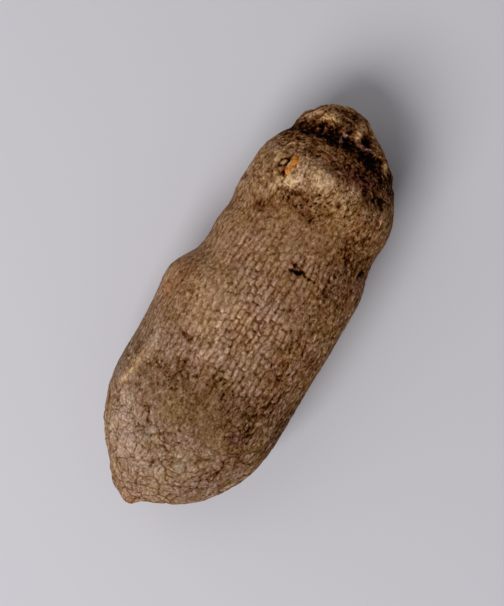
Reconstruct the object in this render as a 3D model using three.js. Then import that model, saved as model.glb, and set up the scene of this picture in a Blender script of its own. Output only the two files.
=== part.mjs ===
// A whole yam: one long tuber lying on its side, with a blunt crown at one end and a
// tapered tail that closes in a small nub. Millimetres, +X from tail to crown, +Z up.
// The origin is on the surface the tuber lies on, under the middle of its box.
import * as THREE from 'three';
import { mergeVertices } from 'three/addons/utils/BufferGeometryUtils.js';

// Driving dimensions.
const LENGTH = 282;
const WIDTH = 114;
const HEIGHT = 96;

// How finely the surface is divided.
const STEPS_ALONG = 76;
const STEPS_AROUND = 40;

// Above 2, the section is a little squarer than an ellipse.
const SECTION_SQUARENESS = 2.15;

const SKIN_COLOUR = '#74543e';

// The four edges of the tuber at each station. The first column is the station's place, from
// -1 at the tail's tip to 1 at the crown's tip. Left and right edges are in half widths, crest
// and belly in heights. The belly would reach below 0, where it is pressed flat.
const STATIONS = [
  // place, left, right, crest, belly
  [-1.0, 0.12, 0.12, 0.4, 0.4],
  [-0.992, 0.17, 0.06, 0.43, 0.36],
  [-0.979, 0.25, 0.03, 0.47, 0.32],
  [-0.965, 0.33, -0.02, 0.5, 0.28],
  [-0.936, 0.4, -0.18, 0.56, 0.21],
  [-0.88, 0.51, -0.44, 0.65, 0.12],
  [-0.79, 0.69, -0.67, 0.76, 0.04],
  [-0.64, 0.88, -0.88, 0.87, -0.01],
  [-0.5, 0.96, -0.96, 0.93, -0.02],
  [-0.3, 0.95, -0.97, 0.97, -0.02],
  [-0.1, 0.98, -0.98, 1.0, -0.02],
  [0.0, 0.99, -0.99, 1.0, -0.02],
  [0.06, 0.94, -0.99, 0.99, -0.02],
  [0.12, 0.84, -0.99, 0.98, -0.02],
  [0.2, 0.8, -0.99, 0.97, -0.02],
  [0.3, 0.8, -0.98, 0.96, -0.02],
  [0.38, 0.77, -0.93, 0.96, -0.02],
  [0.45, 0.8, -0.9, 0.97, -0.02],
  [0.56, 0.79, -0.92, 0.98, -0.02],
  [0.66, 0.77, -0.86, 0.95, -0.01],
  [0.74, 0.69, -0.76, 0.88, 0.03],
  [0.8, 0.63, -0.68, 0.81, 0.07],
  [0.86, 0.59, -0.54, 0.74, 0.13],
  [0.91, 0.51, -0.36, 0.68, 0.2],
  [0.96, 0.38, -0.18, 0.6, 0.28],
  [0.99, 0.23, -0.03, 0.52, 0.36],
  [1.0, 0.1, 0.1, 0.44, 0.44],
];

// Gentle swellings and hollows of the growth. Places along run from -1 to 1 as above, and
// angles around go from the left edge (0) over the crest (90) to the right edge (180).
// Rises are in millimetres, and a hollow's is negative.
const LUMPS = [
  { name: 'ridge on the left of the tail', along: -0.42, around: 38, reach: 0.17, spread: 16, rise: 2.0 },
  { name: 'hollow inside that ridge', along: -0.5, around: 66, reach: 0.12, spread: 18, rise: -1.5 },
  { name: 'bump on the head', along: 0.66, around: 86, reach: 0.07, spread: 20, rise: 2.5 },
  { name: 'hollow behind that bump', along: 0.5, around: 82, reach: 0.09, spread: 24, rise: -2.0 },
  { name: 'waist on the right', along: 0.4, around: 196, reach: 0.05, spread: 20, rise: -1.5 },
  { name: 'shoulder low on the left', along: -0.03, around: -24, reach: 0.09, spread: 24, rise: 1.5 },
  { name: 'swelling low on the right', along: -0.3, around: 215, reach: 0.18, spread: 24, rise: 2.0 },
];

// The groove around the neck of the crown's knob. It bows back towards the tail at the sides,
// where it is also shallower.
const GROOVE_PLACE = 0.835;
const GROOVE_BOW = 0.045;
const GROOVE_HALF_WIDTH = 0.022;
const GROOVE_DEPTH = 3.0;
const GROOVE_DEPTH_AT_SIDES = 1.2;

// Rings sit where the marks of an ellipse do, close together at the tips, so the ends are round.
const bearingOf = (place) => Math.acos(-place);

const stationBearings = STATIONS.map(([place]) => bearingOf(place));
const stationEdges = STATIONS.flatMap(([, ...edges]) => edges);
const EDGES_PER_STATION = 4;
const edgeCurves = new THREE.CubicInterpolant(stationBearings, stationEdges, EDGES_PER_STATION);

function edgesAt(place) {
  const [left, right, crest, belly] = edgeCurves.evaluate(bearingOf(place));
  return {
    left: (left * WIDTH) / 2,
    right: (right * WIDTH) / 2,
    crest: crest * HEIGHT,
    belly: belly * HEIGHT,
  };
}

// 1 in the middle of a feature and 0 well away from it.
const fade = (distance) => Math.exp(-distance * distance);

// From -180 to 180 degrees.
const turnBetween = (from, to) => THREE.MathUtils.euclideanModulo(to - from + 180, 360) - 180;

// How far the lumps lift the surface and the groove sinks it.
function riseAt(place, degrees) {
  let rise = 0;
  for (const lump of LUMPS) {
    const offAlong = (place - lump.along) / lump.reach;
    const offAround = turnBetween(lump.around, degrees) / lump.spread;
    rise += lump.rise * fade(Math.hypot(offAlong, offAround));
  }
  const sideways = Math.cos(THREE.MathUtils.degToRad(degrees)) ** 2;
  const groovePlace = GROOVE_PLACE - GROOVE_BOW * sideways;
  const grooveDepth = THREE.MathUtils.lerp(GROOVE_DEPTH, GROOVE_DEPTH_AT_SIDES, sideways);
  rise -= grooveDepth * fade((place - groovePlace) / GROOVE_HALF_WIDTH);
  return rise;
}

const squarer = (value) => Math.sign(value) * Math.abs(value) ** (2 / SECTION_SQUARENESS);

// Where the surface is, at a place along the tuber and an angle around it.
function surfacePoint(place, angle) {
  const { left, right, crest, belly } = edgesAt(place);
  const halfWidth = (left - right) / 2;
  const halfHeight = (crest - belly) / 2;
  const outY = squarer(Math.cos(angle));
  const outZ = squarer(Math.sin(angle));
  // A lump fades out at the tips, where the sections close.
  const closing = Math.sqrt(1 - place * place);
  const rise = closing * riseAt(place, THREE.MathUtils.radToDeg(angle));
  const y = (left + right) / 2 + outY * (halfWidth + rise);
  const z = (crest + belly) / 2 + outZ * (halfHeight + rise);
  return new THREE.Vector3((place * LENGTH) / 2, y, Math.max(z, 0));
}

// A ball with its poles on the length gives the rings, and each of its points moves to the skin.
function tuberGeometry() {
  const geometry = new THREE.SphereGeometry(1, STEPS_AROUND, STEPS_ALONG);
  geometry.rotateZ(-Math.PI / 2);
  geometry.deleteAttribute('normal');
  geometry.deleteAttribute('uv');
  const closed = mergeVertices(geometry);
  const points = closed.getAttribute('position');
  const unit = new THREE.Vector3();
  for (let i = 0; i < points.count; i += 1) {
    unit.fromBufferAttribute(points, i);
    const place = THREE.MathUtils.clamp(unit.x, -1, 1);
    const moved = surfacePoint(place, Math.atan2(unit.z, unit.y));
    points.setXYZ(i, moved.x, moved.y, moved.z);
  }
  // The lumps shift the sides a little, so the tuber is centred over the origin again.
  closed.computeBoundingBox();
  const middle = closed.boundingBox.getCenter(new THREE.Vector3());
  closed.translate(-middle.x, -middle.y, 0);
  closed.computeVertexNormals();
  return closed;
}

const skin = new THREE.MeshStandardMaterial({ color: SKIN_COLOUR, roughness: 0.85, metalness: 0 });
const tuber = new THREE.Mesh(tuberGeometry(), skin);
tuber.name = 'tuber';

const yam = new THREE.Group();
yam.name = 'yam';
yam.add(tuber);

export default yam;
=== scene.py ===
import math

import bmesh
import bpy
import numpy as np
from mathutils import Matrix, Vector
from mathutils.bvhtree import BVHTree


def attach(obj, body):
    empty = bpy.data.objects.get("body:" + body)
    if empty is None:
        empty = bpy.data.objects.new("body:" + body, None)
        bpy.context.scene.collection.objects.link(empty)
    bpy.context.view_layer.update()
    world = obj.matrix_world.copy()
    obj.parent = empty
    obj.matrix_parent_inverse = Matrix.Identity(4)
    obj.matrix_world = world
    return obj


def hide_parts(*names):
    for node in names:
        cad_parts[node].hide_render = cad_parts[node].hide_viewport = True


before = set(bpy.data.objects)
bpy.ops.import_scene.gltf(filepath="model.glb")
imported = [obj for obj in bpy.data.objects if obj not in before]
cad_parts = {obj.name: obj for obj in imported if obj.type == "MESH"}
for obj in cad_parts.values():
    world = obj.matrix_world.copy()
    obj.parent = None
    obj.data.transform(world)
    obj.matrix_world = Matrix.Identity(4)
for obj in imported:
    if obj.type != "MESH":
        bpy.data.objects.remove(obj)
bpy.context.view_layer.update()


def sunlit(red, green, blue):
    """A colour as the eye names it, 0 to 255, made into the linear numbers that light is reckoned in."""
    shares = [value / 255 for value in (red, green, blue)]
    linear = [s / 12.92 if s <= 0.04045 else ((s + 0.055) / 1.055) ** 2.4 for s in shares]
    return (*linear, 1.0)


# ---------------------------------------------------------------------------------------------
# The table under the yam. A plain pale grey board, matt, much larger than the yam, with its
# top where the yam's belly rests.
# ---------------------------------------------------------------------------------------------
BOARD_HALF_SIDE = 12.0
BOARD_GREY = sunlit(201, 199, 205)
BOARD_ROUGHNESS = 0.9

board_mesh = bpy.data.meshes.new("board")
corners = [(-1, -1, 0), (1, -1, 0), (1, 1, 0), (-1, 1, 0)]
board_mesh.from_pydata([Vector(c) * BOARD_HALF_SIDE for c in corners], [], [(0, 1, 2, 3)])
board = bpy.data.objects.new("board", board_mesh)
bpy.context.scene.collection.objects.link(board)

board_paint = bpy.data.materials.new("pale_grey_board")
board_paint.use_nodes = True
board_shader = board_paint.node_tree.nodes["Principled BSDF"]
board_shader.inputs["Base Color"].default_value = BOARD_GREY
board_shader.inputs["Roughness"].default_value = BOARD_ROUGHNESS
board_mesh.materials.append(board_paint)

# ---------------------------------------------------------------------------------------------
# The light. A broad soft window stands off the yam's tail, a little to its left. A weaker one
# stands off its left side, and the room's pale walls and ceiling fill the shadows.
# ---------------------------------------------------------------------------------------------
WINDOWS = {
    "tail_window": {
        "towards": (-0.995, 0.10), "height_angle": 48, "distance": 3.0, "side": 1.5, "power": 78.0,
    },
    "left_window": {
        "towards": (0.0, 1.0), "height_angle": 50, "distance": 1.0, "side": 0.8, "power": 1.5,
    },
}
ROOM_GREY = (0.86, 0.85, 0.86, 1.0)
ROOM_STRENGTH = 0.26

for name, made in WINDOWS.items():
    pane = bpy.data.lights.new(name, "AREA")
    pane.shape = "SQUARE"
    pane.size = made["side"]
    pane.energy = made["power"]
    window = bpy.data.objects.new(name, pane)
    height_angle = math.radians(made["height_angle"])
    level = Vector((*made["towards"], 0.0)).normalized() * math.cos(height_angle)
    toward_window = level + Vector((0, 0, math.sin(height_angle)))
    window.location = toward_window * made["distance"]
    window.rotation_euler = toward_window.to_track_quat("Z", "Y").to_euler()
    bpy.context.scene.collection.objects.link(window)

room = bpy.data.worlds.new("room")
room.use_nodes = True
room_light = room.node_tree.nodes["Background"]
room_light.inputs["Color"].default_value = ROOM_GREY
room_light.inputs["Strength"].default_value = ROOM_STRENGTH
bpy.context.scene.world = room
bpy.context.scene.view_settings.view_transform = "Standard"

# ---------------------------------------------------------------------------------------------
# The camera. It looks straight down from above the yam, and it is turned so that the yam lies
# across the view with its crown up and to the right.
# ---------------------------------------------------------------------------------------------
LENS = 70.0
SENSOR = 36.0
# How much of the table the long side of the view takes in, in metres.
VIEW_LONG_SIDE = 0.3757
LOOKED_AT = Vector((0.0053, 0.0007, 0.045))
CAMERA_TURN = math.radians(-60)

overhead = bpy.data.cameras.new("overhead")
overhead.lens = LENS
overhead.sensor_width = SENSOR
camera = bpy.data.objects.new("overhead", overhead)
camera.location = LOOKED_AT + Vector((0, 0, VIEW_LONG_SIDE * LENS / SENSOR))
camera.rotation_euler = (0, 0, CAMERA_TURN)
bpy.context.scene.collection.objects.link(camera)
bpy.context.scene.camera = camera

# ---------------------------------------------------------------------------------------------
# The tuber's body. One grown piece of dense pale flesh in a dry cork skin. The smooth body
# starts from the solid's own faces, made into an even mesh fine enough to carry the bark.
# ---------------------------------------------------------------------------------------------
CLOSE_POINTS = 0.00001
MESH_STEP = 0.0007
SMOOTHING_PASSES = 16
SMOOTHING_SHARE = 0.5
MM = 1000.0

body_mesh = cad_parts["tuber"].data.copy()
shell = bmesh.new()
shell.from_mesh(body_mesh)
bmesh.ops.remove_doubles(shell, verts=shell.verts, dist=CLOSE_POINTS)
shell.to_mesh(body_mesh)
shell.free()
skin = bpy.data.objects.new("tuber_skin", body_mesh)
bpy.context.scene.collection.objects.link(skin)


def apply_changes(piece):
    """Turns what a piece's modifiers make of it into its own mesh."""
    changed = piece.evaluated_get(bpy.context.evaluated_depsgraph_get())
    piece.data = bpy.data.meshes.new_from_object(changed)
    piece.data.name = piece.name
    piece.modifiers.clear()


even_mesh = skin.modifiers.new("even_mesh", "REMESH")
even_mesh.mode = "VOXEL"
even_mesh.voxel_size = MESH_STEP
even_mesh.use_smooth_shade = True
even_out = skin.modifiers.new("even_out", "SMOOTH")
even_out.factor = SMOOTHING_SHARE
even_out.iterations = SMOOTHING_PASSES
apply_changes(skin)
smooth_body = BVHTree.FromObject(skin, bpy.context.evaluated_depsgraph_get())

# Every point keeps its place on the smooth body, in millimetres. The relief and the colours are
# both worked out from it, so that each crack is dark exactly where it is deep.
smooth_places = np.empty(len(skin.data.vertices) * 3, np.float32)
skin.data.vertices.foreach_get("co", smooth_places)
smooth_place = skin.data.attributes.new("smooth_place", "FLOAT_VECTOR", "POINT")
smooth_place.data.foreach_set("vector", smooth_places * MM)


# ---------------------------------------------------------------------------------------------
# How the bark is described. A field is a number, or a place, at every point of the skin. The
# same recipes make the relief, in geometry nodes, and the colours, in shader nodes.
# ---------------------------------------------------------------------------------------------
class Field:
    """A number or a triple that differs from point to point. Arithmetic on it adds nodes."""

    def __init__(self, tree, socket):
        self.tree = tree
        self.socket = socket

    def __add__(self, other):
        return reckon("ADD", self, other)

    def __sub__(self, other):
        return reckon("SUBTRACT", self, other)

    def __rsub__(self, other):
        return reckon("SUBTRACT", other, self)

    def __mul__(self, other):
        return reckon("MULTIPLY", self, other)

    def __truediv__(self, other):
        return reckon("DIVIDE", self, other)

    __radd__ = __add__
    __rmul__ = __mul__


def add_node(tree, kind, inputs, output=0, **settings):
    """One new node with its inputs set or linked, and the field that comes out of it."""
    made = tree.nodes.new(kind)
    for name, value in settings.items():
        setattr(made, name, value)
    for name, value in inputs.items():
        if isinstance(value, Field):
            tree.links.new(value.socket, made.inputs[name])
        else:
            made.inputs[name].default_value = value
    return Field(tree, made.outputs[output])


def reckon(operation, *values):
    """One step of arithmetic on fields and plain numbers."""
    tree = next(value.tree for value in values if isinstance(value, Field))
    return add_node(tree, "ShaderNodeMath", dict(enumerate(values)), operation=operation)


def reckon_places(operation, *values, output=0):
    """One step of arithmetic on places."""
    tree = next(value.tree for value in values if isinstance(value, Field))
    return add_node(tree, "ShaderNodeVectorMath", dict(enumerate(values)), output, operation=operation)


def xyz(place):
    """A place's three numbers: along the yam, across it and up."""
    return [add_node(place.tree, "ShaderNodeSeparateXYZ", {0: place}, output=i) for i in range(3)]


def triple(x, y, z):
    """Three numbers made into a place."""
    tree = next(value.tree for value in (x, y, z) if isinstance(value, Field))
    return add_node(tree, "ShaderNodeCombineXYZ", {0: x, 1: y, 2: z})


def ramp(value, low, high, start=0.0, end=1.0):
    """Runs smoothly from start to end as value goes from low to high."""
    inputs = {"Value": value, "From Min": low, "From Max": high, "To Min": start, "To Max": end}
    return add_node(value.tree, "ShaderNodeMapRange", inputs, interpolation_type="SMOOTHSTEP", clamp=False)


def between(low, high, share):
    """low where share is 0 and high where it is 1."""
    return low + (high - low) * share


def larger(a, b):
    """The larger of two fields at each point."""
    return reckon("MAXIMUM", a, b)


def socket_kind(value):
    """The kind of socket that takes a value into a node group or out of it."""
    if isinstance(value, Field):
        kinds = {"VALUE": "NodeSocketFloat", "VECTOR": "NodeSocketVector", "RGBA": "NodeSocketColor"}
        return kinds[value.socket.type]
    return {1: "NodeSocketFloat", 3: "NodeSocketVector", 4: "NodeSocketColor"}[np.size(value)]


def in_a_group(recipe):
    """Keeps a recipe's nodes in a node group of its own, made the first time a kind of tree uses it."""

    def use(*values):
        outer = next(value.tree for value in values if isinstance(value, Field))
        name = f"{recipe.__name__}_{outer.type.lower()}"
        group = bpy.data.node_groups.get(name)
        if group is None:
            group = bpy.data.node_groups.new(name, outer.bl_idname)
            for number, value in enumerate(values):
                kind = socket_kind(value)
                group.interface.new_socket(f"value_{number}", in_out="INPUT", socket_type=kind)
            taken_in = group.nodes.new("NodeGroupInput")
            given_out = group.nodes.new("NodeGroupOutput")
            results = recipe(*[Field(group, taken_in.outputs[number]) for number in range(len(values))])
            for number, result in enumerate(results):
                kind = socket_kind(result)
                group.interface.new_socket(f"result_{number}", in_out="OUTPUT", socket_type=kind)
                group.links.new(result.socket, given_out.inputs[number])
        kind = "GeometryNodeGroup" if outer.type == "GEOMETRY" else "ShaderNodeGroup"
        made = add_node(outer, kind, dict(enumerate(values)), node_tree=group).socket.node
        return [Field(outer, output) for output in made.outputs]

    return use


NOISE_SPREAD = 3.0
SEED_STEP = (37.1, 91.7, 53.3)


def reseeded(place, seed):
    """The place moved far off, so that each seed draws a pattern of its own."""
    shift = tuple(seed * step for step in SEED_STEP)
    if place.tree.type == "SHADER":
        return add_node(place.tree, "ShaderNodeMapping", {"Vector": place, "Location": shift})
    return reckon_places("ADD", place, shift)


def ripple(place, size, seed, detail=2.0, roughness=0.5):
    """Random rises and falls, each about size across, mostly between -1 and 1."""
    inputs = {"Vector": reseeded(place, seed), "Scale": 1 / size, "Detail": detail, "Roughness": roughness}
    noise = add_node(place.tree, "ShaderNodeTexNoise", inputs)
    return (noise - 0.5) * NOISE_SPREAD


# ---------------------------------------------------------------------------------------------
# The bark of the middle. As the tuber swells, its cork splits into long furrows that run from
# tail to crown, and short cracks cross them, which leaves rows of small rounded blocks.
# ---------------------------------------------------------------------------------------------
# The middle line of the body runs along x at this y and z, in mm, and the rows lie around it.
MIDDLE_Y = -2.0
MIDDLE_Z = 46.0
ROWS_AROUND = 80
ROW_WIDTH = 4.2
BLOCK_LENGTH = 5.6
BLOCK_RISE = 0.5
CRACK_SINK = 0.3
# How far each slope reaches from the middle of its crack, in mm.
FURROW_REACH = 1.1
CRACK_REACH = 1.0
BLOCK_SIDES = (0.2, 1.6)
BLOCK_ENDS = (0.2, 1.4)
EDGE_WAVE = 1.7
EDGE_RAGGEDNESS = 0.35
# Each row wanders by up to these shares of its width, in waves of these sizes.
WIDE_WAVE, WIDE_WANDER = 30, 0.6
WAVE, WANDER = 10, 0.4
FINE_WAVE, FINE_WANDER = 3.0, 0.17
# A furrow opens and closes over this length. The steps keep rows from opening and breaking alike.
RUN_LENGTH = 9
ROW_STEP = 5.3
BLOCK_STEP = 7.31
HALF_FURROW_STEP = 9.0
BLOCK_UNEVENNESS = 0.9
# The cracks across a row wander by up to this share of a block's length, in waves of this size.
BLOCK_WAVE, BLOCK_WANDER = 4, 0.3
# The cracks across the rows open and close in patches of this size.
CRACK_PATCH = 7
# A crack opens as a ripple goes between the first two, from the third strength to the fourth.
FURROW_OPENS = (-0.7, 1.0, 0.05, 1.0)
HALF_FURROW_OPENS = (0.0, 0.8, 0.0, 1.0)
CRACK_OPENS = (-0.3, 1.0, 0.05, 0.9)
HALF_FURROW_STRENGTH = 0.6
FURROW_WIDER_ON_RIGHT = 0.2
CRACK_WIDER_ON_CREST = 0.4
CRACK_WIDER_ON_RIGHT = 0.4
# The cracks are strongest near the crest and on the right flank, and the left side is quieter.
CREST_Y = -5
NEAR_CREST = (10.0, 28.0)
RIGHT_FLANK_Y = (-14.0, -34.0)
LEFT_SIDE_Y = (12.0, 32.0)
LEFT_CLEARNESS = 0.6
LEFT_WAVE, LEFT_WANDER = 14, 9.0
# Here and there the blocks are worn, down to less than half of their rise.
WORN_SIZE = 15
UNWORN = (-0.7, 0.3, 0.45, 1.0)
FACE_MIDDLE = 0.4
FACE_LIGHTER = 0.16
CRACK_DARKER = 0.31
SHADE_SPREAD = 0.14


def turns_around(place):
    """Turns around the middle line: 0 at the crest, rising to half a turn down the left side."""
    _, y, z = xyz(place)
    return reckon("ARCTAN2", y - MIDDLE_Y, z - MIDDLE_Z) / (2 * math.pi)


@in_a_group
def middle_blocks(place):
    """How deep in a crack each point is, its rise in mm, and how much lighter it is."""
    x, y, _ = xyz(place)
    wander = ripple(place, WIDE_WAVE, seed=1) * WIDE_WANDER + ripple(place, WAVE, seed=2) * WANDER
    wander = wander + ripple(place, FINE_WAVE, seed=3) * FINE_WANDER
    row_place = turns_around(place) * ROWS_AROUND + wander
    row_name = reckon("FLOORED_MODULO", reckon("FLOOR", row_place), float(ROWS_AROUND))
    across = reckon("FRACT", row_place)
    to_furrow = reckon("MINIMUM", across, 1 - across) * ROW_WIDTH
    to_half_furrow = reckon("ABSOLUTE", across - 0.5) * ROW_WIDTH
    furrow_name = reckon("FLOORED_MODULO", reckon("ROUND", row_place), float(ROWS_AROUND))
    right_flank = ramp(y, *RIGHT_FLANK_Y)
    furrow_run = ripple(triple(x / RUN_LENGTH, furrow_name * ROW_STEP, 0.0), 1.0, seed=6, detail=2.0)
    furrow_strength = ramp(furrow_run + right_flank * FURROW_WIDER_ON_RIGHT, *FURROW_OPENS)
    half_place = triple(x / RUN_LENGTH, row_name * ROW_STEP, HALF_FURROW_STEP)
    half_run = ripple(half_place, 1.0, seed=7, detail=1.0)
    half_strength = ramp(half_run, *HALF_FURROW_OPENS) * HALF_FURROW_STRENGTH
    block_place = x / BLOCK_LENGTH + row_name * BLOCK_STEP
    block_place = block_place + ripple(place, BLOCK_WAVE, seed=4) * BLOCK_WANDER
    block_inputs = {"W": block_place, "Scale": 1.0, "Randomness": BLOCK_UNEVENNESS}
    to_crack = add_node(place.tree, "ShaderNodeTexVoronoi", block_inputs, output="Distance",
                        voronoi_dimensions="1D", feature="DISTANCE_TO_EDGE") * BLOCK_LENGTH
    shade = add_node(place.tree, "ShaderNodeTexVoronoi", block_inputs, output="Color",
                     voronoi_dimensions="1D", feature="F1")
    shade_red = xyz(shade)[0]
    near_crest = ramp(reckon("ABSOLUTE", y - CREST_Y), *NEAR_CREST, 1.0, 0.0)
    crack_run = ripple(place, CRACK_PATCH, seed=5, detail=1.0) + near_crest * CRACK_WIDER_ON_CREST
    crack_strength = ramp(crack_run + right_flank * CRACK_WIDER_ON_RIGHT, *CRACK_OPENS)
    ragged = ripple(place, EDGE_WAVE, seed=8) * EDGE_RAGGEDNESS
    in_furrow = ramp(to_furrow + ragged, 0.0, FURROW_REACH, 1.0, 0.0) * furrow_strength
    in_half_furrow = ramp(to_half_furrow + ragged, 0.0, CRACK_REACH, 1.0, 0.0) * half_strength
    in_crack = ramp(to_crack + ragged, 0.0, CRACK_REACH, 1.0, 0.0) * crack_strength
    depth = larger(larger(in_furrow, in_crack), in_half_furrow)
    dome_across = ramp(to_furrow + ragged, *BLOCK_SIDES)
    dome_along = between(1.0, ramp(to_crack + ragged, *BLOCK_ENDS), crack_strength)
    dome = dome_across * dome_along
    on_left = ramp(y + ripple(place, LEFT_WAVE, seed=9) * LEFT_WANDER, *LEFT_SIDE_Y)
    clear = between(1.0, LEFT_CLEARNESS, on_left)
    clear = clear * ramp(ripple(place, WORN_SIZE, seed=10), *UNWORN)
    rise = (dome * BLOCK_RISE - depth * CRACK_SINK) * clear
    lighter = (dome - FACE_MIDDLE) * FACE_LIGHTER - depth * CRACK_DARKER
    lighter = (lighter + (shade_red - 0.5) * SHADE_SPREAD) * clear
    return depth * clear, rise, lighter


# ---------------------------------------------------------------------------------------------
# The bark between tail and middle, and towards the head. Here neither the plates nor the rows
# are clear: the cork is only creased into small irregular crumbs.
# ---------------------------------------------------------------------------------------------
CRUMB_SIZE = 3.8
CRUMB_STRETCH = (1.3, 0.95)
CRUMB_STIR = (6, 1.6)
CREASE_SIZE = 5.0
CREASE_WIDTH = 0.3
CREASE_STRENGTH = 0.8
CRUMB_CRACK_PATCH = 7
CRUMB_CRACK_OPENS = (-0.6, 0.8)
CRUMB_CRACK_REACH = 0.9
CRUMB_ROUNDING = 1.4
CRUMB_RISE = 0.25
CRUMB_LEAN = 0.12
CRUMB_CRACK_SINK = 0.25
CRUMB_FACE_LIGHTER = 0.14
CRUMB_CRACK_DARKER = 0.26
CRUMB_SHADE_SPREAD = 0.13
# The crumbs are faint on the crest and bold on the right flank.
BOLDER_Y = (-18.0, -36.0)
FAINT, BOLD = 0.6, 1.25


def stirred(place, size, reach, seed):
    """The place pushed about at random by up to about reach."""
    inputs = {"Vector": reseeded(place, seed), "Scale": 1 / size, "Detail": 1.0}
    noise = add_node(place.tree, "ShaderNodeTexNoise", inputs, output="Color")
    spread = reach * NOISE_SPREAD
    push = reckon_places("MULTIPLY_ADD", noise, (spread,) * 3, (-spread / 2,) * 3)
    return reckon_places("ADD", place, push)


def stretched(place, length, width):
    """The place measured so that what is drawn at size 1 comes out long in x and narrow across."""
    return reckon_places("MULTIPLY", place, (1 / length, 1 / width, 1 / width))


def wrinkles(place, size, seed, width):
    """1 along thin wandering lines, size apart or so, and 0 between them."""
    folds = ripple(place, size, seed, detail=1.0)
    return ramp(reckon("ABSOLUTE", folds), 0.0, width, 1.0, 0.0)


def plates(place, size):
    """How far in mm each point is from the nearest crack, a shade for each plate, and its lean."""
    inputs = {"Vector": place, "Scale": 1 / size}
    edge = add_node(place.tree, "ShaderNodeTexVoronoi", inputs, output="Distance",
                    feature="DISTANCE_TO_EDGE") * size
    shade = add_node(place.tree, "ShaderNodeTexVoronoi", inputs, output="Color", feature="F1")
    middle = add_node(place.tree, "ShaderNodeTexVoronoi", inputs, output="Position", feature="F1")
    off = reckon_places("SUBTRACT", place, middle)
    slope = reckon_places("SUBTRACT", shade, (0.5, 0.5, 0.5))
    lean = reckon_places("DOT_PRODUCT", off, slope, output="Value")
    return edge, xyz(shade)[0] - 0.5, lean


@in_a_group
def crumbled_bark(place):
    """The crack depth, the rise in mm and the lightness, as for the middle's blocks."""
    y = xyz(place)[1]
    bold = ramp(y, *BOLDER_Y, FAINT, BOLD)
    bent = stretched(stirred(place, *CRUMB_STIR, seed=61), *CRUMB_STRETCH)
    creases = wrinkles(bent, CREASE_SIZE, seed=62, width=CREASE_WIDTH)
    edge, shade, lean = plates(bent, CRUMB_SIZE)
    cracked = ramp(ripple(place, CRUMB_CRACK_PATCH, seed=63), *CRUMB_CRACK_OPENS)
    in_crack = ramp(edge, 0.0, CRUMB_CRACK_REACH, 1.0, 0.0) * cracked
    depth = larger(creases * CREASE_STRENGTH, in_crack)
    rise = ramp(edge, 0.0, CRUMB_ROUNDING) * CRUMB_RISE + lean * CRUMB_LEAN - depth * CRUMB_CRACK_SINK
    face = (ramp(edge, 0.0, CRUMB_ROUNDING) - 0.5) * CRUMB_FACE_LIGHTER
    lighter = (face - depth * CRUMB_CRACK_DARKER + shade * CRUMB_SHADE_SPREAD) * bold
    return depth, rise, lighter


# ---------------------------------------------------------------------------------------------
# The bark of the tail. Here the cork has dried into irregular plates with thin dark cracks
# between them. Each plate leans a little, and it flakes away in low steps.
# ---------------------------------------------------------------------------------------------
PLATE_SIZE = 9.0
PLATELET_SIZE = 4.0
# The cracks wander in two sizes of wave, each given with how far it pushes them, in mm.
PLATE_STIR = (14, 2.6)
PLATELET_STIR = (4, 0.7)
PLATE_LEAN = 0.14
PLATELET_LEAN = 0.07
PLATE_RISE = 0.22
PLATELET_RISE = 0.1
PLATE_ROUNDING = 2.0
PLATELET_ROUNDING = 1.4
PLATE_CRACK = (0.1, 0.8)
PLATELET_CRACK = (0.0, 0.7)
PLATELET_CRACK_STRENGTH = 0.85
# The cracks open and close in patches of these sizes, in the way that the middle's do.
PLATE_CRACK_PATCH = 8
PLATE_CRACK_OPENS = (-0.8, 0.3, 0.2, 1.0)
PLATELET_CRACK_PATCH = 12
PLATELET_CRACK_OPENS = (-0.5, 0.6, 0.1, 1.0)
PLATE_CRACK_SINK = 0.23
# Where the cork flakes, it goes down in steps, and each step ends in a thin dark edge.
FLAKED_PATCH = 16
FLAKED_WHERE = (-0.4, 0.5)
FLAKE_SIZE = 12
STEPS = 3.5
STEP_HEIGHT = 0.30
STEP_EDGE = (0.78, 0.97)
STEP_EDGE_STRENGTH = 0.8
STEP_LIGHTER = 0.09
PLATE_SHADE_SPREAD = 0.08
PLATELET_SHADE_SPREAD = 0.07
# Painted light and shade: each plate is lighter on its raised side and darker on its sunk side.
LEAN_PAINTED_LIGHT = 0.10
PLATE_CRACK_DARKER = 0.28


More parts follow.
